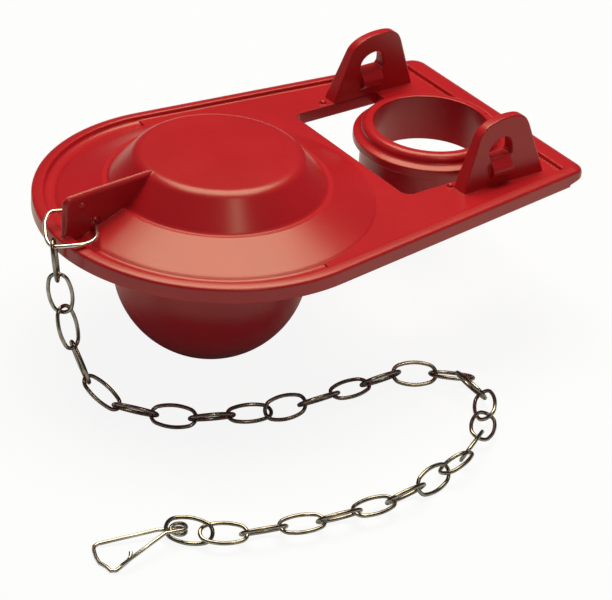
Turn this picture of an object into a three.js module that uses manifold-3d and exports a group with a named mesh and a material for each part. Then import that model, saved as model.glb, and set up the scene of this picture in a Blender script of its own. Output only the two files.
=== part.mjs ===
// Toilet flapper: one soft red rubber moulding (D-shaped plate, hat-topped disc,
// hollow bulb, arm, tube collar, two ears) with a wire ring, a chain and a wire clip.
// Millimetres, +Z up. The origin is the centre of the sealing circle, on the flat
// underside that meets the valve seat; the collar and the ears are towards +X.
import * as THREE from 'three';
import { mergeVertices } from 'three/addons/utils/BufferGeometryUtils.js';
import Module from 'manifold-3d';

const wasm = await Module();
wasm.setup();

const degree = Math.PI / 180;

// Plate: a half circle round the disc, then straight sides that taper to a square end.
const discRadius = 45;
const sideTaper = 6.85 * degree;
const plateEnd = 89;
const endCorner = 3.5;
const fieldTop = 3.2;
const fieldRadius = 42;

// Section of the raised edge: how far in from the side, how far in from the end, height.
const edgeSection = [
  [0.35, 0.35, 0],
  [0, 0, 0.35],
  [0, 0, 2.4],
  [0, 0.35, 3.4],
  [0.3, 0.9, 3.8],
  [0.9, 1.6, 4.1],
  [1.9, 2.4, 4.3],
  [2.4, 5.6, 4.35],
  [2.75, 5.95, 4.28],
  [2.95, 6.15, 4.1],
  [3, 6.2, fieldTop],
];

// Relief under the lip at the square end, from its inner to its outer edge.
const lipStart = 83.4;
const lipRise = [0.7, 1.9];

// Window between the disc and the collar.
const windowStart = 40.7;
const windowEnd = 67;
const windowNear = -22.8;
const windowFar = 25;
const windowCorner = 2.4;

// Hat, cone and groove of the disc.
const hatTop = 15.4;
const hatEdge = 4;
const coneEdge = 38.8;
const grooveDepth = 2.75;

// Bulb below the disc, open through a small hole at its foot.
const bulbX = -0.8;
const bulbRadius = 24.3;
const bulbCentre = -15.1;
const bulbWall = 2.2;
const bleedHole = 2.6;

// Arm from the hat to the rim, with the eye for the ring.
const armHalf = 0.95;
const armEnd = -44.1;
const eye = { x: -35.3, z: 6.35, radius: 1.3 };

// Collar that slips over the overflow tube.
const collarX = 65.8;
const collarBore = 14.8;
const collarTop = 6.3;
const collarFoot = -6.2;
const collarBand = 19.8;

// Ears for the pegs of the overflow tube, thinner towards the top.
const earInner = 25;
const earFootThickness = 4.4;
const earTopThickness = 2.3;
const earTop = 20.5;
const pegSill = { start: 61.8, end: 68.2, z: 10.4 };

// Ring, chain and clip.
const ringWire = 0.5;
const linkCount = 28;
const linkWire = 0.48;
const linkPitch = 9.27;
const linkApex = 0.75;
const linkHalfWidth = 2.9;
const linkEndRadius = 2.4;
const clipWire = 0.45;

const red = 0xb0182a;

function rubber() {
  return new THREE.MeshStandardMaterial({ name: 'rubber', color: red, roughness: 0.38, metalness: 0 });
}

function steel() {
  return new THREE.MeshStandardMaterial({ name: 'wire', color: 0x8d8780, roughness: 0.28, metalness: 1 });
}

// Closed triangle surface as a solid, and back.
function solid(geometry) {
  const bare = new THREE.BufferGeometry();
  bare.setAttribute('position', geometry.getAttribute('position'));
  if (geometry.index) bare.setIndex(geometry.index);
  const merged = mergeVertices(bare, 1e-4);
  const mesh = new wasm.Mesh({
    numProp: 3,
    vertProperties: new Float32Array(merged.getAttribute('position').array),
    triVerts: new Uint32Array(merged.index.array),
  });
  mesh.merge();
  return new wasm.Manifold(mesh);
}

function surface(manifold) {
  const mesh = manifold.getMesh();
  const geometry = new THREE.BufferGeometry();
  geometry.setAttribute('position', new THREE.BufferAttribute(new Float32Array(mesh.vertProperties), 3));
  geometry.setIndex(Array.from(mesh.triVerts));
  const flat = geometry.toNonIndexed();
  flat.computeVertexNormals();
  return flat;
}

// Body of revolution about a vertical axis at x, from [radius, height] pairs.
function turned(profile, x = 0, segments = 60) {
  const points = profile.map(([r, z]) => new THREE.Vector2(r, z));
  if (THREE.ShapeUtils.area(points) < 0) points.reverse();
  const geometry = new THREE.LatheGeometry(points, segments);
  geometry.rotateX(Math.PI / 2);
  geometry.translate(x, 0, 0);
  return solid(geometry);
}

function arc(cx, cz, radius, from, to, steps) {
  const points = [];
  for (let i = 0; i <= steps; i++) {
    const angle = from + ((to - from) * i) / steps;
    points.push([cx + radius * Math.cos(angle), cz + radius * Math.sin(angle)]);
  }
  return points;
}

function block(x0, x1, y0, y1, z0, z1) {
  const geometry = new THREE.BoxGeometry(x1 - x0, y1 - y0, z1 - z0);
  geometry.translate((x0 + x1) / 2, (y0 + y1) / 2, (z0 + z1) / 2);
  return solid(geometry);
}

// D outline of the plate, moved in from its side and its end, at one height.
function plateLoop([sideInset, endInset, height]) {
  const radius = discRadius - sideInset;
  const corner = Math.max(endCorner - sideInset, 0.4);
  const x = plateEnd - endInset - corner;
  const y = (radius - corner - Math.sin(sideTaper) * x) / Math.cos(sideTaper);
  const tangent = 90 * degree - sideTaper;
  return [
    ...arc(0, 0, radius, tangent, 2 * Math.PI - tangent, 56),
    ...arc(x, -y, corner, -tangent, 0, 4),
    ...arc(x, y, corner, 0, tangent, 4),
  ].map((point) => new THREE.Vector3(...point, height));
}

// Closed body from level loops of equal length, capped at both ends.
function stacked(loops) {
  const corners = [];
  for (let i = 0; i + 1 < loops.length; i++) {
    const low = loops[i];
    const high = loops[i + 1];
    low.forEach((point, k) => {
      const next = (k + 1) % low.length;
      corners.push(point, low[next], high[next], point, high[next], high[k]);
    });
  }
  const foot = loops[0];
  const top = loops[loops.length - 1];
  for (const [a, b, c] of THREE.ShapeUtils.triangulateShape(foot, [])) corners.push(foot[a], foot[c], foot[b]);
  for (const [a, b, c] of THREE.ShapeUtils.triangulateShape(top, [])) corners.push(top[a], top[b], top[c]);
  return solid(new THREE.BufferGeometry().setFromPoints(corners));
}

function plate() {
  const reach = 6;
  const slope = (lipRise[1] - lipRise[0]) / (plateEnd - lipStart);
  const relief = upright((shape) => {
    shape.moveTo(lipStart, -1);
    shape.lineTo(lipStart + reach, -1);
    shape.lineTo(lipStart + reach, lipRise[0] + slope * reach);
    shape.lineTo(lipStart, lipRise[0]);
  }, 0, 60, 0);
  return stacked(edgeSection.map(plateLoop)).subtract(relief);
}

function window() {
  const shape = new THREE.Shape();
  shape.moveTo(windowEnd, windowFar);
  shape.lineTo(windowStart + windowCorner, windowFar);
  shape.absarc(windowStart + windowCorner, windowFar - windowCorner, windowCorner, 90 * degree, 180 * degree, false);
  shape.absarc(windowStart + windowCorner, windowNear + windowCorner, windowCorner, 180 * degree, 270 * degree, false);
  shape.lineTo(windowEnd, windowNear);
  const geometry = new THREE.ExtrudeGeometry(shape, { depth: 20, bevelEnabled: false, curveSegments: 6 });
  geometry.translate(0, 0, -8);
  return solid(geometry);
}

// Shallow cone with the flat-topped hat, which has a fine groove round its foot.
function disc() {
  return turned([
    [0, hatTop + 0.25],
    [10, hatTop + 0.2],
    [16, hatTop + 0.08],
    ...arc(18.2, hatTop - hatEdge, hatEdge, 88 * degree, 40 * degree, 4),
    [26.1, 8.35],
    [26.5, 7.85],
    [27, 7.55],
    [27.5, 7.6],
    [27.9, 7.72],
    [28.4, 7.5],
    [33.3, 5.5],
    [coneEdge, 3.3],
    [coneEdge + 0.4, 2.2],
    [coneEdge + 0.4, 0.4],
    [0, 0.4],
  ]);
}

// Hollow bulb, a little off the centre of the disc, flared where it meets the plate.
function bulb() {
  return turned([
    [0, 1],
    [bulbRadius + 1, 1],
    [bulbRadius + 1, 0],
    [bulbRadius + 0.3, -3],
    [bulbRadius, -6],
    [bulbRadius, bulbCentre],
    ...arc(0, bulbCentre, bulbRadius, 0, -90 * degree, 12).slice(1, -1),
    [0, bulbCentre - bulbRadius],
  ], bulbX);
}

function airChamber() {
  const inner = bulbRadius - bulbWall;
  const floor = bulbCentre - bulbRadius - 1;
  const rise = Math.acos(bleedHole / inner);
  return turned([
    [0, 13.4],
    [16.6, 13.2],
    [22.2, 7],
    [22.2, 4.4],
    [inner, 3.2],
    ...arc(0, bulbCentre, inner, 0, -rise, 10),
    [bleedHole, floor],
    [0, floor],
  ], bulbX);
}

// Narrow ring groove between the cone and the rim, on the rounded end only.
function groove() {
  return turned([
    [coneEdge, 3.35],
    [coneEdge + 0.6, grooveDepth],
    [fieldRadius - 1, grooveDepth + 0.1],
    [fieldRadius - 0.2, fieldTop + 0.1],
    [fieldRadius - 0.2, 4.5],
    [coneEdge, 4.5],
    [coneEdge, 3.35],
  ]).subtract(block(4, 60, -60, 60, 0, 10));
}

// Upright slab in a plane of constant y, from a profile in x and z.
function upright(points, yMiddle, halfThickness, bevel, holes = []) {
  const shape = new THREE.Shape();
  points(shape);
  shape.holes.push(...holes);
  const geometry = new THREE.ExtrudeGeometry(shape, {
    depth: 2 * (halfThickness - bevel),
    bevelEnabled: bevel > 0,
    bevelSize: bevel,
    bevelThickness: bevel,
    bevelOffset: -bevel,
    bevelSegments: 2,
    curveSegments: 6,
  });
  geometry.rotateX(Math.PI / 2);
  geometry.translate(0, yMiddle + halfThickness - bevel, 0);
  return solid(geometry);
}

function bead(x, y, z, radius) {
  const geometry = new THREE.SphereGeometry(radius, 10, 6);
  geometry.translate(x, y, z);
  return solid(geometry);
}

// Thin upright blade that falls gently from the hat to a rounded outer end.
function arm() {
  const bar = upright((shape) => {
    shape.moveTo(-19, 2.6);
    shape.lineTo(-19, 15.6);
    shape.lineTo(-20.5, 15.7);
    shape.lineTo(-27.5, 15.4);
    shape.lineTo(-34.4, 15.07);
    shape.lineTo(-41.8, 14.6);
    shape.bezierCurveTo(-43.2, 14.5, armEnd, 13.6, armEnd, 12.3);
    shape.lineTo(armEnd, 2.6);
  }, 0, armHalf, 0.35);
  const bore = new THREE.CylinderGeometry(eye.radius, eye.radius, 12, 16);
  bore.translate(eye.x, 0, eye.z);
  return bar.subtract(solid(bore)).add(bead(-39.3, 0.1 - armHalf, 11.8, 0.75));
}

// Collar tube: round shoulder above, flared to a low band on the plate.
function collar() {
  const shoulder = 1.8;
  const mouth = 0.35;
  return turned([
    [collarBore, collarFoot],
    [17.6, collarFoot],
    [17.6, 0.2],
    [18.6, 0.6],
    ...arc(collarBand - 0.6, 1.5, 0.6, -60 * degree, 0, 2),
    [collarBand, 3.2],
    [18.5, 3.75],
    ...arc(16, collarTop - shoulder, shoulder, 0, 90 * degree, 5),
    ...arc(collarBore + mouth, collarTop - mouth, mouth, 90 * degree, 180 * degree, 2),
    [collarBore, collarFoot],
  ], collarX, 48);
}

// Ear profile: a trapezoid with a broad round top.
function earProfile(shape) {
  shape.moveTo(53.4, 2.6);
  shape.lineTo(58.3, 16.5);
  shape.bezierCurveTo(59.3, 19.3, 63.5, earTop, 67.4, earTop);
  shape.bezierCurveTo(72.8, earTop, 73.5, 18.8, 74.6, 15.7);
  shape.lineTo(79.2, 2.6);
}

// Peg hole: arched above, flat below.
function pegHole() {
  const hole = new THREE.Path();
  hole.moveTo(61.4, 11.6);
  hole.lineTo(62, pegSill.z);
  hole.lineTo(68.3, pegSill.z);
  hole.lineTo(68.8, 11.2);
  hole.bezierCurveTo(68.8, 14.3, 67.9, 15.4, 66, 15.4);
  hole.bezierCurveTo(63.6, 15.4, 61.4, 14, 61.4, 11.6);
  return hole;
}

// Nose below the peg hole, on both faces: it slopes out from the sill and rounds back.
function pegNose(yMiddle) {
  const half = earFootThickness / 2;
  const shape = new THREE.Shape();
  shape.moveTo(0, pegSill.z);
  shape.lineTo(half - 0.3, pegSill.z);
  shape.lineTo(half + 1.5, 8.5);
  shape.bezierCurveTo(half + 2.1, 7.8, half + 1.9, 5.9, half - 0.4, 5.2);
  shape.lineTo(0.4 - half, 5.2);
  shape.bezierCurveTo(-half - 1.9, 5.9, -half - 2.1, 7.8, -half - 1.5, 8.5);
  shape.lineTo(0.3 - half, pegSill.z);
  const width = pegSill.end - pegSill.start;
  const geometry = new THREE.ExtrudeGeometry(shape, { depth: width, bevelEnabled: false, curveSegments: 6 });
  geometry.rotateX(Math.PI / 2);
  geometry.rotateZ(Math.PI / 2);
  geometry.translate(pegSill.start, yMiddle, 0);
  return solid(geometry);
}

// Ear on one side, its inner face upright and its outer face leaning in.
function ear(side) {
  const middle = side * (earInner + earFootThickness / 2);
  const straight = upright(earProfile, middle, earFootThickness / 2, 0.4, [pegHole()]).add(pegNose(middle));
  const thinning = (1 - earTopThickness / earFootThickness) / (earTop - fieldTop);
  return straight.warp((point) => {
    const depth = side * point[1] - earInner;
    point[1] = side * (earInner + depth * (1 - thinning * (point[2] - fieldTop)));
  });
}

function moulding() {
  return plate()
    .subtract(window())
    .add(disc())
    .add(bulb())
    .subtract(groove())
    .add(arm())
    .add(collar())
    .add(ear(1))
    .add(ear(-1))
    .add(bead(51.3, 26.9, fieldTop, 0.9))
    .add(bead(53.3, -24.2, fieldTop, 0.9))
    .subtract(airChamber())
    .subtract(turned([[0, -20], [collarBore, -20], [collarBore, 3.5], [0, 3.5]], collarX, 48));
}

// Round wire along a run of points, closed on itself or capped at both ends.
function wire(points, radius, closed, sides = 8) {
  const count = points.length;
  const tangents = points.map((point, i) => {
    const before = points[closed ? (i + count - 1) % count : Math.max(i - 1, 0)];
    const after = points[closed ? (i + 1) % count : Math.min(i + 1, count - 1)];
    return after.clone().sub(before).normalize();
  });
  let side = new THREE.Vector3(0, 0, 1).cross(tangents[0]);
  if (side.length() < 0.1) side = new THREE.Vector3(1, 0, 0).cross(tangents[0]);
  side.normalize();
  const rings = [];
  for (let i = 0; i < count; i++) {
    side = side.clone().addScaledVector(tangents[i], -side.dot(tangents[i])).normalize();
    const up = tangents[i].clone().cross(side);
    const before = points[closed ? (i + count - 1) % count : Math.max(i - 1, 0)];
    const along = points[i].clone().sub(before).normalize();
    const widen = along.length() > 0.5 ? 1 / Math.max(0.8, along.dot(tangents[i])) : 1;
    const ring = [];
    for (let k = 0; k < sides; k++) {
      const angle = (2 * Math.PI * k) / sides;
      ring.push(points[i].clone()
        .addScaledVector(side, radius * widen * Math.cos(angle))
        .addScaledVector(up, radius * widen * Math.sin(angle)));
    }
    rings.push(ring);
  }
  const corners = [];
  const spans = closed ? count : count - 1;
  const shift = closed ? seamShift(rings) : 0;
  for (let i = 0; i < spans; i++) {
    const next = rings[(i + 1) % count];
    const turn = i === count - 1 ? shift : 0;
    for (let k = 0; k < sides; k++) {
      const a = rings[i][k];
      const b = rings[i][(k + 1) % sides];
      const c = next[(k + 1 + turn) % sides];
      const d = next[(k + turn) % sides];
      corners.push(a, b, c, a, c, d);
    }
  }
  if (!closed) {
    for (let k = 1; k < sides - 1; k++) {
      corners.push(rings[0][0], rings[0][k + 1], rings[0][k]);
      corners.push(rings[count - 1][0], rings[count - 1][k], rings[count - 1][k + 1]);
    }
  }
  const geometry = new THREE.BufferGeometry().setFromPoints(corners);
  geometry.computeVertexNormals();
  return geometry;
}

// Number of corners by which the last section lags the first one.
function seamShift(rings) {
  const sides = rings[0].length;
  const last = rings[rings.length - 1][0];
  let best = 0;
  for (let k = 1; k < sides; k++) {
    if (last.distanceTo(rings[0][k]) < last.distanceTo(rings[0][best])) best = k;
  }
  return best;
}

// Ring through the eye, bent a little out of round.
function ring() {
  const course = new THREE.CatmullRomCurve3([
    [-35.5, 0, 6.25],
    [-36.4, 2.1, 7.1],
    [-38.6, 3.9, 7.8],
    [-41.26, 4.8, 8.05],
    [-43.96, 5.5, 8],
    [-46.4, 3.6, 7.3],
    [-47.8, 1.4, 6.6],
    [-49, -1.4, 5.5],
    [-48.6, -3.5, 4.7],
    [-45.3, -5.7, 5],
    [-41.5, -7.06, 5.25],
    [-38.7, -6.3, 5.6],
    [-36.6, -3.3, 6.1],
  ].map((point) => new THREE.Vector3(...point)), true, 'catmullrom', 0.5);
  return wire(course.getPoints(44).slice(0, -1), ringWire, true);
}

// Course of the chain: down from the ring, then over the table in a wide loop.
const tableLine = -36.3;
const chainCourse = new THREE.CatmullRomCurve3([
  [-48.6, -3.5, 5.45],
  [-45.6, -5.0, -15.7],
  [-42.9, -12.2, -30.5],
  [-39.1, -17.3, -34.8],
  [-31.5, -24.1],
  [-25.3, -29.5],
  [-6.7, -36.4],
  [9.6, -38.4],
  [27.9, -38.4],
  [36.5, -42.4],
  [45.6, -50.7],
  [43.5, -54.8],
  [36.9, -65.4],
  [22.1, -75.2],
  [6.2, -79.9],
  [-13.2, -80.3],
  [-30.7, -76.6],
  [-44.5, -72.0],
  [-54.2, -62.8],
].map(([x, y, z]) => new THREE.Vector3(x, y, z ?? tableLine)), false, 'catmullrom', 0.5);

// Lean of each link about its own length, in degrees from lying flat.
const linkLean = [
  20, 110, 10, 125, 5, 135, 30, 135, 10, 65, 135, 5, 130, 40,
  160, 125, 40, 160, 65, 25, 115, 55, 0, 50, 175, 45, 165, 128,
];

// Links that are pushed back into the one before, in mm.
const linkSlack = { 16: 2.6, 20: 0.8, 28: 1.4 };

function chainJoints() {
  const length = chainCourse.getLength();
  chainCourse.arcLengthDivisions = 2000;
  chainCourse.updateArcLengths();
  const at = (s) => chainCourse.getPointAt(Math.min(1, Math.max(0, s / length)));
  const joints = [];
  let s = 0;
  for (let number = 1; number <= linkCount; number++) {
    s -= linkSlack[number] ?? 0;
    const start = at(s);
    let near = s;
    let far = s + 1.5 * linkPitch;
    for (let i = 0; i < 30; i++) {
      s = (near + far) / 2;
      if (at(s).distanceTo(start) < linkPitch) near = s;
      else far = s;
    }
    joints.push([start, at(s)]);
  }
  return joints;
}

// Half of a link's oval, in its own plane: the round end and then one bowed side.
function halfOval() {
  const bendCentre = linkPitch / 2 + linkApex - linkEndRadius;
  const narrow = linkHalfWidth - linkEndRadius;
  const sideRadius = (bendCentre ** 2 + linkHalfWidth ** 2 - linkEndRadius ** 2) / (2 * narrow);
  const sideCentre = linkHalfWidth - sideRadius;
  const turn = Math.atan2(-sideCentre, bendCentre);
  return [
    ...arc(bendCentre, 0, linkEndRadius, -turn, turn, 6),
    ...arc(0, sideCentre, sideRadius, turn, Math.PI - turn, 2).slice(1, -1),
  ];
}

// Oval link between two joints.
function link(start, end, lean) {
  const along = end.clone().sub(start).normalize();
  const middle = start.clone().add(end).multiplyScalar(0.5);
  const level = new THREE.Vector3(0, 0, 1).cross(along).normalize();
  const upward = along.clone().cross(level);
  const across = level.multiplyScalar(Math.cos(lean * degree))
    .addScaledVector(upward, Math.sin(lean * degree));
  const points = [1, -1].flatMap((way) => halfOval().map(([x, y]) => (
    middle.clone().addScaledVector(along, way * x).addScaledVector(across, way * y)
  )));
  return wire(points, linkWire, true);
}

// Clip: one wire bent like a safety pin, with a spring coil at the chain end. The
// return of the far end finishes in a small hook that holds the lower leg.
function clip() {
  const coil = new THREE.Vector3(-52.1, -65.1, -36.4);
  const coilRadius = 1.75;
  const coilRise = 1.9;
  const turns = 1.5;
  const steps = 24;
  const points = [
    [-64.7, -65.1, -37.8],
    [-65.2, -65.8, -38.6],
    [-66.5, -66.6, -38.8],
    [-69, -67.6, -38.85],
    [-70.4, -68.1, -38.87],
    [-71.5, -67.6, -38.87],
    [-71.5, -65.9, -38.87],
    [-72.1, -63.8, -38.87],
    [-71.7, -61.8, -38.87],
    [-70.8, -59.4, -38.87],
    [-70.0, -58.1, -38.87],
    [-68.7, -57.8, -38.8],
    [-55.6, -61.6, -37.5],
  ].map(([x, y, z]) => new THREE.Vector3(x, y, z));
  for (let i = 0; i <= steps; i++) {
    const angle = Math.PI / 2 - (2 * Math.PI * turns * i) / steps;
    points.push(new THREE.Vector3(
      coil.x + coilRadius * Math.cos(angle),
      coil.y + coilRadius * Math.sin(angle),
      coil.z + coilRise * (i / steps - 0.5),
    ));
  }
  points.push(new THREE.Vector3(-56.4, -66.1, -35.2), new THREE.Vector3(-69.6, -68.9, -37.3));
  return wire(points, clipWire, false);
}

const group = new THREE.Group();
group.name = 'toilet_flapper';

function place(name, geometry, material) {
  const mesh = new THREE.Mesh(geometry, material);
  mesh.name = name;
  group.add(mesh);
}

place('flapper', surface(moulding()), rubber());
place('ring', ring(), steel());
chainJoints().forEach(([start, end], i) => {
  place(`link_${String(i + 1).padStart(2, '0')}`, link(start, end, linkLean[i]), steel());
});
place('clip', clip(), steel());

export default group;
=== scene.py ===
"""Toilet flapper: a red rubber moulding, a wire ring, a chain of oval links and a wire clip.

Shapes are written in millimetres, in the frame of the CAD part: the origin is the centre of
the sealing circle, +Z is up, and the collar and the ears are towards +X.
"""

import math

import bmesh
import bpy
from mathutils import Matrix, Vector


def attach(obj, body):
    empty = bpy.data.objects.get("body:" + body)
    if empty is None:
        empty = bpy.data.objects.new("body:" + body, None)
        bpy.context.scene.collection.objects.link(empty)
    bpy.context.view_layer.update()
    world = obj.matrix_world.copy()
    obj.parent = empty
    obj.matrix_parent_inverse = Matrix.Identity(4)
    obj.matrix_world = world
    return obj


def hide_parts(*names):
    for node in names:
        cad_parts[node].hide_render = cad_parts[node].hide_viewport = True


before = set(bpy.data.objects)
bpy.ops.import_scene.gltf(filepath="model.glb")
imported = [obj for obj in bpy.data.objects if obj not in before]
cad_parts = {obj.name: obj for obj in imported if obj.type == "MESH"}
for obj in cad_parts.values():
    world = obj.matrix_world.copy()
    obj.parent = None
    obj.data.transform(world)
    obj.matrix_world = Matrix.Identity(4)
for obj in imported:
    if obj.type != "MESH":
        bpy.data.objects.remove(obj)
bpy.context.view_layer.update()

MM = 0.001

# Sides of a turned body
TURN_SIDES = 192
COLLAR_SIDES = 160

# Plate
DISC_RADIUS = 45.0
SIDE_TAPER = math.radians(6.85)
PLATE_END = 89.0
END_CORNER = 3.5
LEAST_CORNER = 0.4
FIELD_TOP = 3.2
FIELD_RADIUS = 42.0

# Section of the raised edge: in from the side, in from the square end, height
EDGE_FOOT = [(0.35, 0.35, 0.0), (0.1, 0.1, 0.1), (0.0, 0.0, 0.35)]
EDGE_SHOULDER = [
    (0.0, 0.0, 2.4), (0.0, 0.12, 2.95), (0.0, 0.35, 3.4), (0.08, 0.6, 3.65), (0.3, 0.95, 3.87),
    (0.6, 1.3, 4.0), (0.9, 1.65, 4.09), (1.4, 2.05, 4.21), (1.9, 2.45, 4.3), (2.2, 3.2, 4.34),
]
EDGE_CREST = [
    (2.4, 5.6, 4.35), (2.6, 5.8, 4.33), (2.75, 5.95, 4.28), (2.87, 6.07, 4.2), (2.95, 6.15, 4.1),
]
EDGE_SLOPE = [
    (3.0, 6.2, 3.8), (3.02, 6.22, 3.6), (3.1, 6.3, 3.4), (3.3, 6.5, 3.25), (3.6, 6.8, 3.2),
]

# Relief under the lip at the square end
LIP_START = 83.4
LIP_RISE = (0.7, 1.9)

# Window between the disc and the collar
WINDOW_X = (40.7, 67.0)
WINDOW_Y = (-22.8, 25.0)
WINDOW_CORNER = 2.4

# Disc, hat and bulb
HAT_TOP = 15.4
HAT_EDGE = 4.0
CONE_EDGE = 38.8
GROOVE_DEPTH = 2.75
BULB_X = -0.8
BULB_RADIUS = 24.3
BULB_CENTRE = -15.1
BULB_WALL = 2.2
BLEED_HOLE = 2.6

# Arm with the eye for the ring
ARM_HALF = 0.95
ARM_END = -44.1
EYE_X = -35.3
EYE_Z = 6.35
EYE_RADIUS = 1.3

# Crowned top edge of the arm: in from the outline, half thickness
ARM_CROWN = [
    (1.15, 0.95), (0.9, 0.93), (0.62, 0.8), (0.38, 0.58), (0.17, 0.33), (0.04, 0.12), (0, 0.03),
]

# Collar
COLLAR_X = 65.8
COLLAR_BORE = 14.8
COLLAR_TOP = 6.3
COLLAR_FOOT = -6.2
COLLAR_BAND = 19.8

# Ears, thinner towards the top
EAR_INNER = 25.0
EAR_FOOT_THICKNESS = 4.4
EAR_TOP_THICKNESS = 2.3
EAR_TOP = 20.5
PEG_SILL_X = (61.8, 68.2)
PEG_SILL_Z = 10.4
EAR_BEVEL = 0.4

# Ejector marks: place and radius
MARKS = {
    "bead_far": ((51.3, 26.9, FIELD_TOP), 0.9),
    "bead_near": ((53.3, -24.2, FIELD_TOP), 0.9),
    "bead_arm": ((-39.3, 0.1 - ARM_HALF, 11.8), 0.75),
}

# Edges sharper than this keep a hard line
SHARP_EDGE = math.radians(32)

# Ring, chain and clip
RING_WIRE = 0.5
LINK_COUNT = 28
LINK_WIRE = 0.48
LINK_PITCH = 9.27
LINK_APEX = 0.75
LINK_HALF_WIDTH = 2.9
LINK_END_RADIUS = 2.4
CLIP_WIRE = 0.45
TABLE_LINE = -36.3
FLOOR = -39.42

# Camera of the photograph, which is 612 x 600 pixels
SENSOR_WIDTH = 36.0
LENS = 161.98
CAMERA_PLACE = Vector((-339.78, -474.45, 333.41))
CAMERA_RIGHT = Vector((0.81135, -0.58083, 0.06586))
CAMERA_UP = Vector((0.25965, 0.45902, 0.84963))
CAMERA_BACK = Vector((-0.52373, -0.67225, 0.52324))

# Studio, in metres: level directions away from the camera and to its right, and two lamps
LEVEL_AWAY = Vector((0.614, 0.789, 0))
LEVEL_RIGHT = Vector((0.813, -0.582, 0))
LAMP_COLOUR = (1.0, 0.88, 0.58)
OVERHEAD_TARGET = Vector((0.01, -0.02, 0))
OVERHEAD_HEIGHT = Vector((0, 0, 0.78))
OVERHEAD_SIZE = (0.74, 0.56)
OVERHEAD_POWER = 9
FRONT_HEIGHT = Vector((0, 0, 0.7))
FRONT_SIZE = (0.06, 0.34)
FRONT_POWER = 0.8
SKY_COLOUR = (0.9, 0.93, 1.0, 1)
SKY_STRENGTH = 0.06
FLOOR_RADIUS = 6.0
FLOOR_GAP = 0.00005
FLOOR_TINTS = ((0.72, 0.8, 0.95, 1), (0.74, 0.82, 0.97, 1))
FLOOR_LIFT = 0.9


def make_camera():
    data = bpy.data.cameras.new("camera")
    data.sensor_width = SENSOR_WIDTH
    data.lens = LENS
    data.clip_start = 0.01
    data.clip_end = 20.0
    camera = bpy.data.objects.new("camera", data)
    bpy.context.scene.collection.objects.link(camera)
    turn = Matrix((CAMERA_RIGHT, CAMERA_UP, CAMERA_BACK)).transposed().to_4x4()
    camera.matrix_world = Matrix.Translation(CAMERA_PLACE * MM) @ turn
    bpy.context.scene.camera = camera


# Mesh helpers


def new_object(name, bm, smooth=True):
    bmesh.ops.remove_doubles(bm, verts=bm.verts, dist=1e-8)
    bmesh.ops.recalc_face_normals(bm, faces=bm.faces)
    mesh = bpy.data.meshes.new(name)
    bm.to_mesh(mesh)
    bm.free()
    for face in mesh.polygons:
        face.use_smooth = smooth
    obj = bpy.data.objects.new(name, mesh)
    bpy.context.scene.collection.objects.link(obj)
    return obj


def arc(cx, cz, radius, start, end, steps):
    """Points on a circle from one angle to another, in degrees."""
    points = []
    for i in range(steps + 1):
        angle = math.radians(start + (end - start) * i / steps)
        points.append((cx + radius * math.cos(angle), cz + radius * math.sin(angle)))
    return points


def bezier(a, b, c, d, steps):
    """Points on a cubic curve in the plane, without the first one."""
    points = []
    for i in range(1, steps + 1):
        t = i / steps
        s = 1 - t
        points.append(tuple(
            s ** 3 * a[k] + 3 * s * s * t * b[k] + 3 * s * t * t * c[k] + t ** 3 * d[k] for k in (0, 1)
        ))
    return points


def turned(name, profile, x=0.0, segments=TURN_SIDES):
    """Body of revolution about a vertical axis, from (radius, height) pairs."""
    bm = bmesh.new()
    closed = profile[0][0] > 0 or profile[-1][0] > 0
    rings = []
    for radius, height in profile:
        if radius == 0:
            rings.append([bm.verts.new((x * MM, 0, height * MM))])
            continue
        ring = []
        for k in range(segments):
            angle = 2 * math.pi * k / segments
            ring.append(bm.verts.new((
                (x + radius * math.cos(angle)) * MM, radius * math.sin(angle) * MM, height * MM,
            )))
        rings.append(ring)
    count = len(rings)
    for i in range(count if closed else count - 1):
        low, high = rings[i], rings[(i + 1) % count]
        for k in range(segments):
            m = (k + 1) % segments
            if len(low) == 1:
                bm.faces.new((low[0], high[k], high[m]))
            elif len(high) == 1:
                bm.faces.new((low[k], low[m], high[0]))
            else:
                bm.faces.new((low[k], low[m], high[m], high[k]))
    return new_object(name, bm)


def stacked(name, loops):
    """Closed body from outlines of equal length, each a list of 3-D points, capped at both ends."""
    bm = bmesh.new()
    rings = [[bm.verts.new(Vector(point) * MM) for point in loop] for loop in loops]
    size = len(rings[0])
    for low, high in zip(rings, rings[1:]):
        for k in range(size):
            m = (k + 1) % size
            bm.faces.new((low[k], low[m], high[m], high[k]))
    bm.faces.new(rings[0])
    bm.faces.new(rings[-1])
    return new_object(name, bm)


def block(name, x, y, z):
    corners = ((x[0], y[0]), (x[1], y[0]), (x[1], y[1]), (x[0], y[1]))
    return stacked(name, [[(cx, cy, height) for cx, cy in corners] for height in z])


def combine(base, others, operation):
    """Joins or cuts closed bodies and removes the ones that were used."""
    for other in others:
        modifier = base.modifiers.new("join", "BOOLEAN")
        modifier.operation = operation
        modifier.solver = "EXACT"
        modifier.object = other
        graph = bpy.context.evaluated_depsgraph_get()
        mesh = bpy.data.meshes.new_from_object(base.evaluated_get(graph))
        old = base.data
        base.modifiers.clear()
        base.data = mesh
        bpy.data.meshes.remove(old)
        bpy.data.objects.remove(other)
    return base


# The rubber moulding


def plate_outline(side_inset, end_inset):
    """D outline of the plate, moved in from its side and from its square end."""
    radius = DISC_RADIUS - side_inset
    corner = max(END_CORNER - side_inset, LEAST_CORNER)
    x = PLATE_END - end_inset - corner
    y = (radius - corner - math.sin(SIDE_TAPER) * x) / math.cos(SIDE_TAPER)
    tangent = 90 - math.degrees(SIDE_TAPER)
    points = arc(0, 0, radius, tangent, 360 - tangent, 150)
    points += arc(x, -y, corner, 360 - tangent, 360, 8)
    points += arc(x, y, corner, 0, tangent, 8)
    return points


def at_height(outline, height):
    return [(x, y, height) for x, y in outline]


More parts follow.
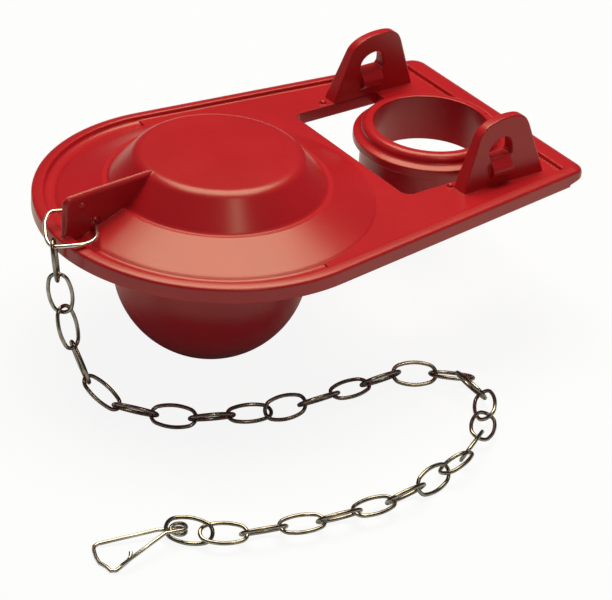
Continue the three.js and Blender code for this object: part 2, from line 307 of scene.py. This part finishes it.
def make_plate():
    """Plate with a raised edge, and the relief under its lip."""
    section = EDGE_FOOT + EDGE_SHOULDER + EDGE_CREST + EDGE_SLOPE
    plate = stacked("plate", [
        at_height(plate_outline(side, end), height) for side, end, height in section
    ])
    reach = 6.0
    low = -1
    half_width = 60
    slope = (LIP_RISE[1] - LIP_RISE[0]) / (PLATE_END - LIP_START)
    outline = [
        (LIP_START, low), (LIP_START + reach, low),
        (LIP_START + reach, LIP_RISE[0] + slope * reach), (LIP_START, LIP_RISE[0]),
    ]
    relief = stacked("relief", [[(x, y, z) for x, z in outline] for y in (-half_width, half_width)])
    return combine(plate, [relief], "DIFFERENCE")


def make_window():
    x0, x1 = WINDOW_X
    y0, y1 = WINDOW_Y
    c = WINDOW_CORNER
    corner_far = arc(x0 + c, y1 - c, c, 90, 180, 10)
    corner_near = arc(x0 + c, y0 + c, c, 180, 270, 10)
    outline = [(x1, y1)] + corner_far + corner_near + [(x1, y0)]
    return stacked("window", [at_height(outline, -8), at_height(outline, 12)])


def make_disc():
    """Shallow cone with the flat-topped hat, which has a fine groove round its foot."""
    profile = [(0, HAT_TOP + 0.25), (10, HAT_TOP + 0.2), (16, HAT_TOP + 0.08)]
    profile += arc(18.2, HAT_TOP - HAT_EDGE, HAT_EDGE, 88, 40, 12)
    profile += [(25.7, 8.85), (26.1, 8.35), (26.5, 7.85), (27.0, 7.55), (27.5, 7.6), (27.9, 7.72)]
    profile += [(28.15, 7.68), (28.4, 7.5), (33.3, 5.5), (37.8, 3.72), (38.4, 3.5), (CONE_EDGE, 3.3)]
    profile += [(CONE_EDGE + 0.25, 2.9), (CONE_EDGE + 0.4, 2.2), (CONE_EDGE + 0.4, 0.4), (0, 0.4)]
    return turned("disc", profile)


def make_bulb():
    """Hollow bulb, a little off the centre of the disc, flared where it meets the plate."""
    profile = [(0, 1), (BULB_RADIUS + 1, 1), (BULB_RADIUS + 1, 0), (BULB_RADIUS + 0.6, -1.3)]
    profile += [(BULB_RADIUS + 0.3, -3), (BULB_RADIUS + 0.1, -4.5), (BULB_RADIUS, -6)]
    profile += [(BULB_RADIUS, BULB_CENTRE)]
    profile += arc(0, BULB_CENTRE, BULB_RADIUS, 0, -90, 40)[1:-1]
    profile += [(0, BULB_CENTRE - BULB_RADIUS)]
    return turned("bulb", profile, BULB_X)


def make_air_chamber():
    inner = BULB_RADIUS - BULB_WALL
    floor = BULB_CENTRE - BULB_RADIUS - 1
    rise = math.degrees(math.acos(BLEED_HOLE / inner))
    profile = [(0, 13.4), (16.6, 13.2), (22.2, 7), (22.2, 4.4), (inner, 3.2)]
    profile += arc(0, BULB_CENTRE, inner, 0, -rise, 24)
    profile += [(BLEED_HOLE, floor), (0, floor)]
    return turned("air_chamber", profile, BULB_X)


def make_groove():
    far = FIELD_RADIUS - 0.1
    profile = [(CONE_EDGE, 3.4), (CONE_EDGE + 0.35, 3.0), (CONE_EDGE + 0.9, GROOVE_DEPTH)]
    profile += [(far - 1.1, GROOVE_DEPTH), (far - 0.5, GROOVE_DEPTH + 0.2), (far - 0.1, 3.25)]
    profile += [(far - 0.1, 4.5), (CONE_EDGE, 4.5)]
    ring = turned("groove", profile)
    return combine(ring, [block("groove_end", (4, 60), (-60, 60), (0, 10))], "DIFFERENCE")


def rounded_edge(half, bevel):
    """Round edge of a slab: in from the outline, half thickness."""
    return [
        (bevel, half), (bevel * 0.45, half - bevel * 0.12), (bevel * 0.12, half - bevel * 0.45),
        (0, half - bevel),
    ]


def upright(name, outline, middle, edge, hole=None):
    """Upright slab in a plane of constant y, its outline in x and z, with shaped edges."""
    layers = edge + [(inset, -depth) for inset, depth in reversed(edge)]
    slab = stacked(name, [
        [(x, middle + depth, z) for x, z in moved_in(outline, inset)] for inset, depth in layers
    ])
    if hole:
        wide = [(-inset, depth * 1.02) for inset, depth in layers]
        cutter = stacked("cutter", [
            [(x, middle + depth, z) for x, z in moved_in(hole, inset)] for inset, depth in wide
        ])
        combine(slab, [cutter], "DIFFERENCE")
    return slab


def moved_in(outline, inset):
    """A closed outline moved inwards by a distance, corner by corner."""
    sharpest = 0.4
    count = len(outline)
    area = sum(
        outline[i][0] * outline[(i + 1) % count][1] - outline[(i + 1) % count][0] * outline[i][1]
        for i in range(count)
    )
    side = 1 if area > 0 else -1
    points = []
    for i in range(count):
        before = Vector(outline[i]) - Vector(outline[i - 1])
        after = Vector(outline[(i + 1) % count]) - Vector(outline[i])
        n1 = Vector((-before.y, before.x)).normalized() * side
        n2 = Vector((-after.y, after.x)).normalized() * side
        middle = (n1 + n2).normalized()
        points.append(tuple(Vector(outline[i]) + middle * (inset / max(sharpest, middle.dot(n1)))))
    return points


def make_arm():
    """Thin upright blade that falls gently from the hat to a rounded outer end."""
    outline = [(-19, 2.6), (-19, 15.6), (-20.5, 15.7), (-27.5, 15.4), (-34.4, 15.07), (-41.8, 14.6)]
    outline += bezier((-41.8, 14.6), (-43.2, 14.5), (ARM_END, 13.6), (ARM_END, 12.3), 12)
    outline += [(ARM_END, 2.6)]
    bar = upright("arm", outline, 0, ARM_CROWN)
    bore = stacked("eye", [
        [(x, depth, z) for x, z in arc(EYE_X, EYE_Z, EYE_RADIUS, 0, 345, 23)] for depth in (-6, 6)
    ])
    return combine(bar, [bore], "DIFFERENCE")


def bead(name, place, radius):
    """Half-sunk ejector mark: a small round bump."""
    bm = bmesh.new()
    bmesh.ops.create_uvsphere(bm, u_segments=20, v_segments=12, radius=radius * MM)
    bmesh.ops.translate(bm, verts=bm.verts, vec=Vector(place) * MM)
    return new_object(name, bm)


def make_collar():
    """Collar tube: round shoulder above, flared to a low band on the plate."""
    shoulder = 1.8
    mouth = 0.35
    profile = [(COLLAR_BORE, COLLAR_FOOT), (17.4, COLLAR_FOOT), (17.6, COLLAR_FOOT + 0.2)]
    profile += [(17.6, 0.2), (18.6, 0.6)]
    profile += arc(COLLAR_BAND - 0.6, 1.5, 0.6, -60, 0, 6)
    profile += [(COLLAR_BAND, 2.9), (COLLAR_BAND - 0.1, 3.15), (19.3, 3.4), (18.5, 3.75), (18.0, 4.1)]
    profile += arc(16, COLLAR_TOP - shoulder, shoulder, 0, 90, 14)
    profile += arc(COLLAR_BORE + mouth, COLLAR_TOP - mouth, mouth, 90, 180, 6)
    return turned("collar", profile, COLLAR_X, COLLAR_SIDES)


def ear_outline():
    """Trapezoid with a broad round top."""
    points = [(53.4, 2.6), (58.3, 16.5)]
    points += bezier((58.3, 16.5), (59.3, 19.3), (63.5, EAR_TOP), (67.4, EAR_TOP), 16)
    points += bezier((67.4, EAR_TOP), (72.8, EAR_TOP), (73.5, 18.8), (74.6, 15.7), 16)
    points += [(79.2, 2.6)]
    return points


def peg_hole():
    """Arched above, flat below."""
    points = [(61.4, 11.6), (62, PEG_SILL_Z), (68.3, PEG_SILL_Z), (68.8, 11.2)]
    points += bezier((68.8, 11.2), (68.8, 14.3), (67.9, 15.4), (66, 15.4), 12)
    points += bezier((66, 15.4), (63.6, 15.4), (61.4, 14), (61.4, 11.6), 12)[:-1]
    return points


def peg_nose(middle):
    """Nose below the peg hole, on both faces: it slopes out from the sill and rounds back."""
    half = EAR_FOOT_THICKNESS / 2
    right = [(half - 0.3, PEG_SILL_Z), (half + 1.5, 8.5)]
    right += bezier((half + 1.5, 8.5), (half + 2.1, 7.8), (half + 1.9, 5.9), (half - 0.4, 5.2), 12)
    outline = right + [(-y, z) for y, z in reversed(right)]
    loops = []
    for inset, back in ((0.4, 0.0), (0.12, 0.12), (0.0, 0.4)):
        loops.append([(PEG_SILL_X[0] + back, middle + y, z) for y, z in moved_in(outline, inset)])
    for inset, back in ((0.0, 0.4), (0.12, 0.12), (0.4, 0.0)):
        loops.append([(PEG_SILL_X[1] - back, middle + y, z) for y, z in moved_in(outline, inset)])
    return stacked("nose", loops)


def make_ear(side):
    """Ear on one side, its inner face upright and its outer face leaning in."""
    half = EAR_FOOT_THICKNESS / 2
    middle = side * (EAR_INNER + half)
    ear = upright("ear", ear_outline(), middle, rounded_edge(half, EAR_BEVEL), peg_hole())
    combine(ear, [peg_nose(middle)], "UNION")
    thinning = (1 - EAR_TOP_THICKNESS / EAR_FOOT_THICKNESS) / (EAR_TOP - FIELD_TOP)
    for vert in ear.data.vertices:
        depth = side * vert.co.y / MM - EAR_INNER
        rise = vert.co.z / MM - FIELD_TOP
        vert.co.y = side * (EAR_INNER + depth * (1 - thinning * rise)) * MM
    return ear


def make_moulding():
    body = make_plate()
    combine(body, [make_window()], "DIFFERENCE")
    combine(body, [make_disc(), make_bulb()], "UNION")
    combine(body, [make_groove()], "DIFFERENCE")
    combine(body, [make_arm(), make_collar(), make_ear(1), make_ear(-1)], "UNION")
    combine(body, [bead(name, place, radius) for name, (place, radius) in MARKS.items()], "UNION")
    reach = COLLAR_BORE + 0.01
    bore = turned("bore", [(0, -20), (reach, -20), (reach, 20), (0, 20)], COLLAR_X, COLLAR_SIDES)
    combine(body, [make_air_chamber(), bore], "DIFFERENCE")
    body.name = "rubber_moulding"
    body.data.name = "rubber_moulding"
    body.data.set_sharp_from_angle(angle=SHARP_EDGE)
    even = body.modifiers.new("even_shading", "WEIGHTED_NORMAL")
    even.keep_sharp = True
    even.weight = 100
    return body


# Wires


def catmull_rom(points, steps, closed=False):
    """Smooth curve through every point, the same one as the CAD part uses."""
    if closed:
        whole = catmull_rom(points[-1:] + points + points[:2], steps)
        return whole[steps:-steps - 1]
    count = len(points)
    curve = []
    for i in range(count - 1):
        p1, p2 = points[i], points[i + 1]
        p0 = points[i - 1] if i else p1 * 2 - p2
        p3 = points[i + 2] if i + 2 < count else p2 * 2 - p1
        m1, m2 = (p2 - p0) * 0.5, (p3 - p1) * 0.5
        for k in range(steps):
            t = k / steps
            curve.append(
                p1 * (2 * t ** 3 - 3 * t ** 2 + 1) + m1 * (t ** 3 - 2 * t ** 2 + t)
                + p2 * (3 * t ** 2 - 2 * t ** 3) + m2 * (t ** 3 - t ** 2)
            )
    curve.append(points[-1])
    return curve


def wire(name, points, radius, closed, sides=12):
    """Round wire along a run of points, closed on itself or with domed ends."""
    count = len(points)
    tangents = []
    for i in range(count):
        before = points[i - 1] if closed or i else points[0]
        after = points[(i + 1) % count] if closed or i + 1 < count else points[-1]
        tangents.append((after - before).normalized())
    side = Vector((0, 0, 1)).cross(tangents[0])
    if side.length < 0.1:
        side = Vector((1, 0, 0)).cross(tangents[0])
    side.normalize()
    frames = []
    for tangent in tangents:
        side = (side - tangent * side.dot(tangent)).normalized()
        frames.append((side.copy(), tangent.cross(side)))
    twist = 0.0
    if closed:
        last = (side - tangents[0] * side.dot(tangents[0])).normalized()
        first, up = frames[0]
        twist = -math.atan2(last.dot(up), last.dot(first))
    bm = bmesh.new()
    rings = []
    for i, (across, up) in enumerate(frames):
        turn = twist * i / count
        ring = []
        for k in range(sides):
            angle = 2 * math.pi * k / sides + turn
            offset = across * math.cos(angle) + up * math.sin(angle)
            ring.append(bm.verts.new((points[i] + offset * radius) * MM))
        rings.append(ring)
    for i in range(count if closed else count - 1):
        low, high = rings[i], rings[(i + 1) % count]
        for k in range(sides):
            m = (k + 1) % sides
            bm.faces.new((low[k], low[m], high[m], high[k]))
    if not closed:
        first_end = (rings[0], points[0], -tangents[0])
        last_end = (rings[-1], points[-1], tangents[-1])
        for ring, centre, tangent in (first_end, last_end):
            inner = []
            for vert in ring:
                offset = vert.co - centre * MM
                inner.append(bm.verts.new(centre * MM + offset * 0.6 + tangent * radius * 0.25 * MM))
            for k in range(sides):
                m = (k + 1) % sides
                bm.faces.new((ring[k], ring[m], inner[m], inner[k]))
            bm.faces.new(inner)
    return new_object(name, bm)


def make_ring():
    """Ring through the eye, bent a little out of round."""
    places = [
        (-35.5, 0, 6.25), (-36.4, 2.1, 7.1), (-38.6, 3.9, 7.8), (-41.26, 4.8, 8.05), (-43.96, 5.5, 8),
        (-46.4, 3.6, 7.3), (-47.8, 1.4, 6.6), (-49, -1.4, 5.5), (-48.6, -3.5, 4.7), (-45.3, -5.7, 5),
        (-41.5, -7.06, 5.25), (-38.7, -6.3, 5.6), (-36.6, -3.3, 6.1),
    ]
    course = catmull_rom([Vector(place) for place in places], 9, closed=True)
    return wire("ring_wire", course, RING_WIRE, True, 16)


# Course of the chain: four hanging points, and then places on the table in x and y
CHAIN_COURSE = [
    (-48.6, -3.5, 5.45), (-45.6, -5.0, -15.7), (-42.9, -12.2, -30.5), (-39.1, -17.3, -34.8),
    (-31.5, -24.1), (-25.3, -29.5), (-6.7, -36.4), (9.6, -38.4), (27.9, -38.4), (36.5, -42.4),
    (45.6, -50.7), (43.5, -54.8), (36.9, -65.4), (22.1, -75.2), (6.2, -79.9), (-13.2, -80.3),
    (-30.7, -76.6), (-44.5, -72.0), (-54.2, -62.8),
]

# Lean of each link about its own length, in degrees from lying flat
LINK_LEAN = [
    20, 110, 10, 125, 5, 135, 30, 135, 10, 65, 135, 5, 130, 40,
    160, 125, 40, 160, 65, 25, 115, 55, 0, 50, 175, 45, 165, 128,
]

# Links that are pushed back into the one before, in mm
LINK_SLACK = {16: 2.6, 20: 0.8, 28: 1.4}


def chain_joints():
    """Start and end of each link along the course of the chain."""
    course = [Vector((*place, TABLE_LINE)[:3]) for place in CHAIN_COURSE]
    curve = catmull_rom(course, 200)
    lengths = [0.0]
    for a, b in zip(curve, curve[1:]):
        lengths.append(lengths[-1] + (b - a).length)

    def at(s):
        s = min(max(s, 0), lengths[-1])
        low, high = 0, len(lengths) - 1
        while high - low > 1:
            middle = (low + high) // 2
            if lengths[middle] <= s:
                low = middle
            else:
                high = middle
        span = lengths[high] - lengths[low]
        return curve[low].lerp(curve[high], (s - lengths[low]) / span if span else 0)

    joints = []
    s = 0.0
    for number in range(1, LINK_COUNT + 1):
        s -= LINK_SLACK.get(number, 0)
        start = at(s)
        near, far = s, s + 1.5 * LINK_PITCH
        for _ in range(30):
            s = (near + far) / 2
            if (at(s) - start).length < LINK_PITCH:
                near = s
            else:
                far = s
        joints.append((start, at(s)))
    return joints


def half_oval():
    """Half of a link's oval, in its own plane: the round end and then one bowed side."""
    bend = LINK_PITCH / 2 + LINK_APEX - LINK_END_RADIUS
    narrow = LINK_HALF_WIDTH - LINK_END_RADIUS
    side_radius = (bend ** 2 + LINK_HALF_WIDTH ** 2 - LINK_END_RADIUS ** 2) / (2 * narrow)
    side_centre = LINK_HALF_WIDTH - side_radius
    turn = math.degrees(math.atan2(-side_centre, bend))
    side = arc(0, side_centre, side_radius, turn, 180 - turn, 8)[1:-1]
    return arc(bend, 0, LINK_END_RADIUS, -turn, turn, 20) + side


def make_link(name, start, end, lean):
    along = (end - start).normalized()
    middle = (start + end) / 2
    level = Vector((0, 0, 1)).cross(along).normalized()
    upward = along.cross(level)
    across = level * math.cos(math.radians(lean)) + upward * math.sin(math.radians(lean))
    points = []
    for way in (1, -1):
        for x, y in half_oval():
            points.append(middle + along * way * x + across * way * y)
    return wire(name, points, LINK_WIRE, True)


def make_clip():
    """One wire bent like a safety pin, with a spring coil and a small hook."""
    coil = Vector((-52.1, -65.1, -36.4))
    coil_radius = 1.75
    coil_rise = 1.9
    turns = 1.5
    places = [
        (-64.7, -65.1, -37.8), (-65.2, -65.8, -38.6), (-66.5, -66.6, -38.8), (-69, -67.6, -38.85),
        (-70.4, -68.1, -38.87), (-71.5, -67.6, -38.87), (-71.5, -65.9, -38.87), (-72.1, -63.8, -38.87),
        (-71.7, -61.8, -38.87), (-70.8, -59.4, -38.87), (-70.0, -58.1, -38.87), (-68.7, -57.8, -38.8),
        (-55.6, -61.6, -37.5),
    ]
    points = [Vector(place) for place in places]
    steps = 48
    for i in range(steps + 1):
        angle = math.pi / 2 - 2 * math.pi * turns * i / steps
        points.append(Vector((
            coil.x + coil_radius * math.cos(angle),
            coil.y + coil_radius * math.sin(angle),
            coil.z + coil_rise * (i / steps - 0.5),
        )))
    points += [Vector((-56.4, -66.1, -35.2)), Vector((-69.6, -68.9, -37.3))]
    return wire("clip_wire", points, CLIP_WIRE, False)


# Materials


def material(name):
    made = bpy.data.materials.new(name)
    made.use_nodes = True
    nodes = made.node_tree.nodes
    return made, nodes, made.node_tree.links, nodes["Principled BSDF"]


def noise(nodes, links, scale, detail, source):
    node = nodes.new("ShaderNodeTexNoise")
    node.inputs["Scale"].default_value = scale
    node.inputs["Detail"].default_value = detail
    links.new(source, node.inputs["Vector"])
    return node.outputs["Fac"]


def ramp(nodes, links, source, low, high, positions=(0.3, 0.7)):
    node = nodes.new("ShaderNodeValToRGB")
    node.color_ramp.elements[0].position = positions[0]
    node.color_ramp.elements[1].position = positions[1]
    node.color_ramp.elements[0].color = low
    node.color_ramp.elements[1].color = high
    links.new(source, node.inputs["Fac"])
    return node.outputs["Color"]


def rubber_material():
    made, nodes, links, shader = material("red_rubber")
    place = nodes.new("ShaderNodeTexCoord").outputs["Object"]
    cloudy = noise(nodes, links, 35, 3, place)
    colour = ramp(nodes, links, cloudy, (0.40, 0.0085, 0.018, 1), (0.47, 0.0115, 0.023, 1))
    links.new(colour, shader.inputs["Base Color"])
    patches = noise(nodes, links, 90, 4, place)
    rough = nodes.new("ShaderNodeMapRange")
    rough.inputs["To Min"].default_value = 0.25
    rough.inputs["To Max"].default_value = 0.33
    links.new(patches, rough.inputs["Value"])
    links.new(rough.outputs["Result"], shader.inputs["Roughness"])
    grain = noise(nodes, links, 1400, 3, place)
    bump = nodes.new("ShaderNodeBump")
    bump.inputs["Strength"].default_value = 0.12
    bump.inputs["Distance"].default_value = 0.0001
    links.new(grain, bump.inputs["Height"])
    bevel = nodes.new("ShaderNodeBevel")
    bevel.samples = 6
    bevel.inputs["Radius"].default_value = 0.0005
    links.new(bevel.outputs["Normal"], bump.inputs["Normal"])
    links.new(bump.outputs["Normal"], shader.inputs["Normal"])
    shader.inputs["Specular IOR Level"].default_value = 0.5
    return made


def wire_material(name, dark, light, rough_low, rough_high):
    made, nodes, links, shader = material(name)
    place = nodes.new("ShaderNodeTexCoord").outputs["Object"]
    spots = noise(nodes, links, 420, 4, place)
    links.new(ramp(nodes, links, spots, dark, light), shader.inputs["Base Color"])
    shader.inputs["Metallic"].default_value = 1.0
    rough = nodes.new("ShaderNodeMapRange")
    rough.inputs["To Min"].default_value = rough_low
    rough.inputs["To Max"].default_value = rough_high
    links.new(noise(nodes, links, 900, 3, place), rough.inputs["Value"])
    links.new(rough.outputs["Result"], shader.inputs["Roughness"])
    return made


def floor_material():
    """Pale floor, which the camera sees lifted towards white, shadow and all."""
    made, nodes, links, shader = material("pale_floor")
    place = nodes.new("ShaderNodeTexCoord").outputs["Object"]
    paper = noise(nodes, links, 60, 2, place)
    links.new(ramp(nodes, links, paper, *FLOOR_TINTS), shader.inputs["Base Color"])
    shader.inputs["Roughness"].default_value = 0.9
    shader.inputs["Specular IOR Level"].default_value = 0.1
    white = nodes.new("ShaderNodeEmission")
    path = nodes.new("ShaderNodeLightPath")
    share = nodes.new("ShaderNodeMath")
    share.operation = "MULTIPLY"
    share.inputs[1].default_value = FLOOR_LIFT
    links.new(path.outputs["Is Camera Ray"], share.inputs[0])
    mix = nodes.new("ShaderNodeMixShader")
    links.new(share.outputs["Value"], mix.inputs["Fac"])
    links.new(shader.outputs["BSDF"], mix.inputs[1])
    links.new(white.outputs["Emission"], mix.inputs[2])
    links.new(mix.outputs["Shader"], nodes["Material Output"].inputs["Surface"])
    return made


# Studio


def area_light(name, place, target, size, power):
    data = bpy.data.lights.new(name, "AREA")
    data.color = LAMP_COLOUR
    data.shape = "RECTANGLE"
    data.size, data.size_y = size
    data.energy = power
    lamp = bpy.data.objects.new(name, data)
    lamp.location = place
    lamp.rotation_mode = "QUATERNION"
    lamp.rotation_quaternion = (Vector(target) - Vector(place)).to_track_quat("-Z", "Y")
    bpy.context.scene.collection.objects.link(lamp)


def make_studio():
    bm = bmesh.new()
    bmesh.ops.create_circle(bm, cap_ends=True, segments=96, radius=FLOOR_RADIUS)
    floor = new_object("floor", bm, smooth=False)
    floor.location.z = FLOOR * MM - FLOOR_GAP
    floor.data.materials.append(floor_material())
    overhead = OVERHEAD_TARGET + OVERHEAD_HEIGHT + LEVEL_AWAY * 0.22
    area_light("overhead", overhead, OVERHEAD_TARGET, OVERHEAD_SIZE, OVERHEAD_POWER)
    front = FRONT_HEIGHT - LEVEL_AWAY * 0.56 + LEVEL_RIGHT * 0.32
    area_light("front", front, (0, 0, 0), FRONT_SIZE, FRONT_POWER)
    world = bpy.data.worlds.new("studio")
    world.use_nodes = True
    sky = world.node_tree.nodes["Background"]
    sky.inputs["Color"].default_value = SKY_COLOUR
    sky.inputs["Strength"].default_value = SKY_STRENGTH
    bpy.context.scene.world = world
    bpy.context.scene.view_settings.view_transform = "Standard"


def dress(piece, node, finish):
    piece.data.materials.clear()
    piece.data.materials.append(finish)
    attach(piece, "root")
    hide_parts(node)


make_camera()
rubber = rubber_material()
bright = wire_material("ring_metal", (0.62, 0.58, 0.56, 1), (0.8, 0.76, 0.74, 1), 0.14, 0.24)
dark = wire_material("chain_metal", (0.16, 0.145, 0.13, 1), (0.42, 0.39, 0.36, 1), 0.14, 0.28)
grey = wire_material("clip_metal", (0.34, 0.32, 0.3, 1), (0.55, 0.52, 0.5, 1), 0.18, 0.32)

moulding = make_moulding()
dress(moulding, "flapper", rubber)
dress(make_ring(), "ring", bright)
for number, (start, end) in enumerate(chain_joints(), 1):
    name = f"link_{number:02d}"
    dress(make_link(name + "_wire", start, end, LINK_LEAN[number - 1]), name, dark)
dress(make_clip(), "clip", grey)

make_studio()
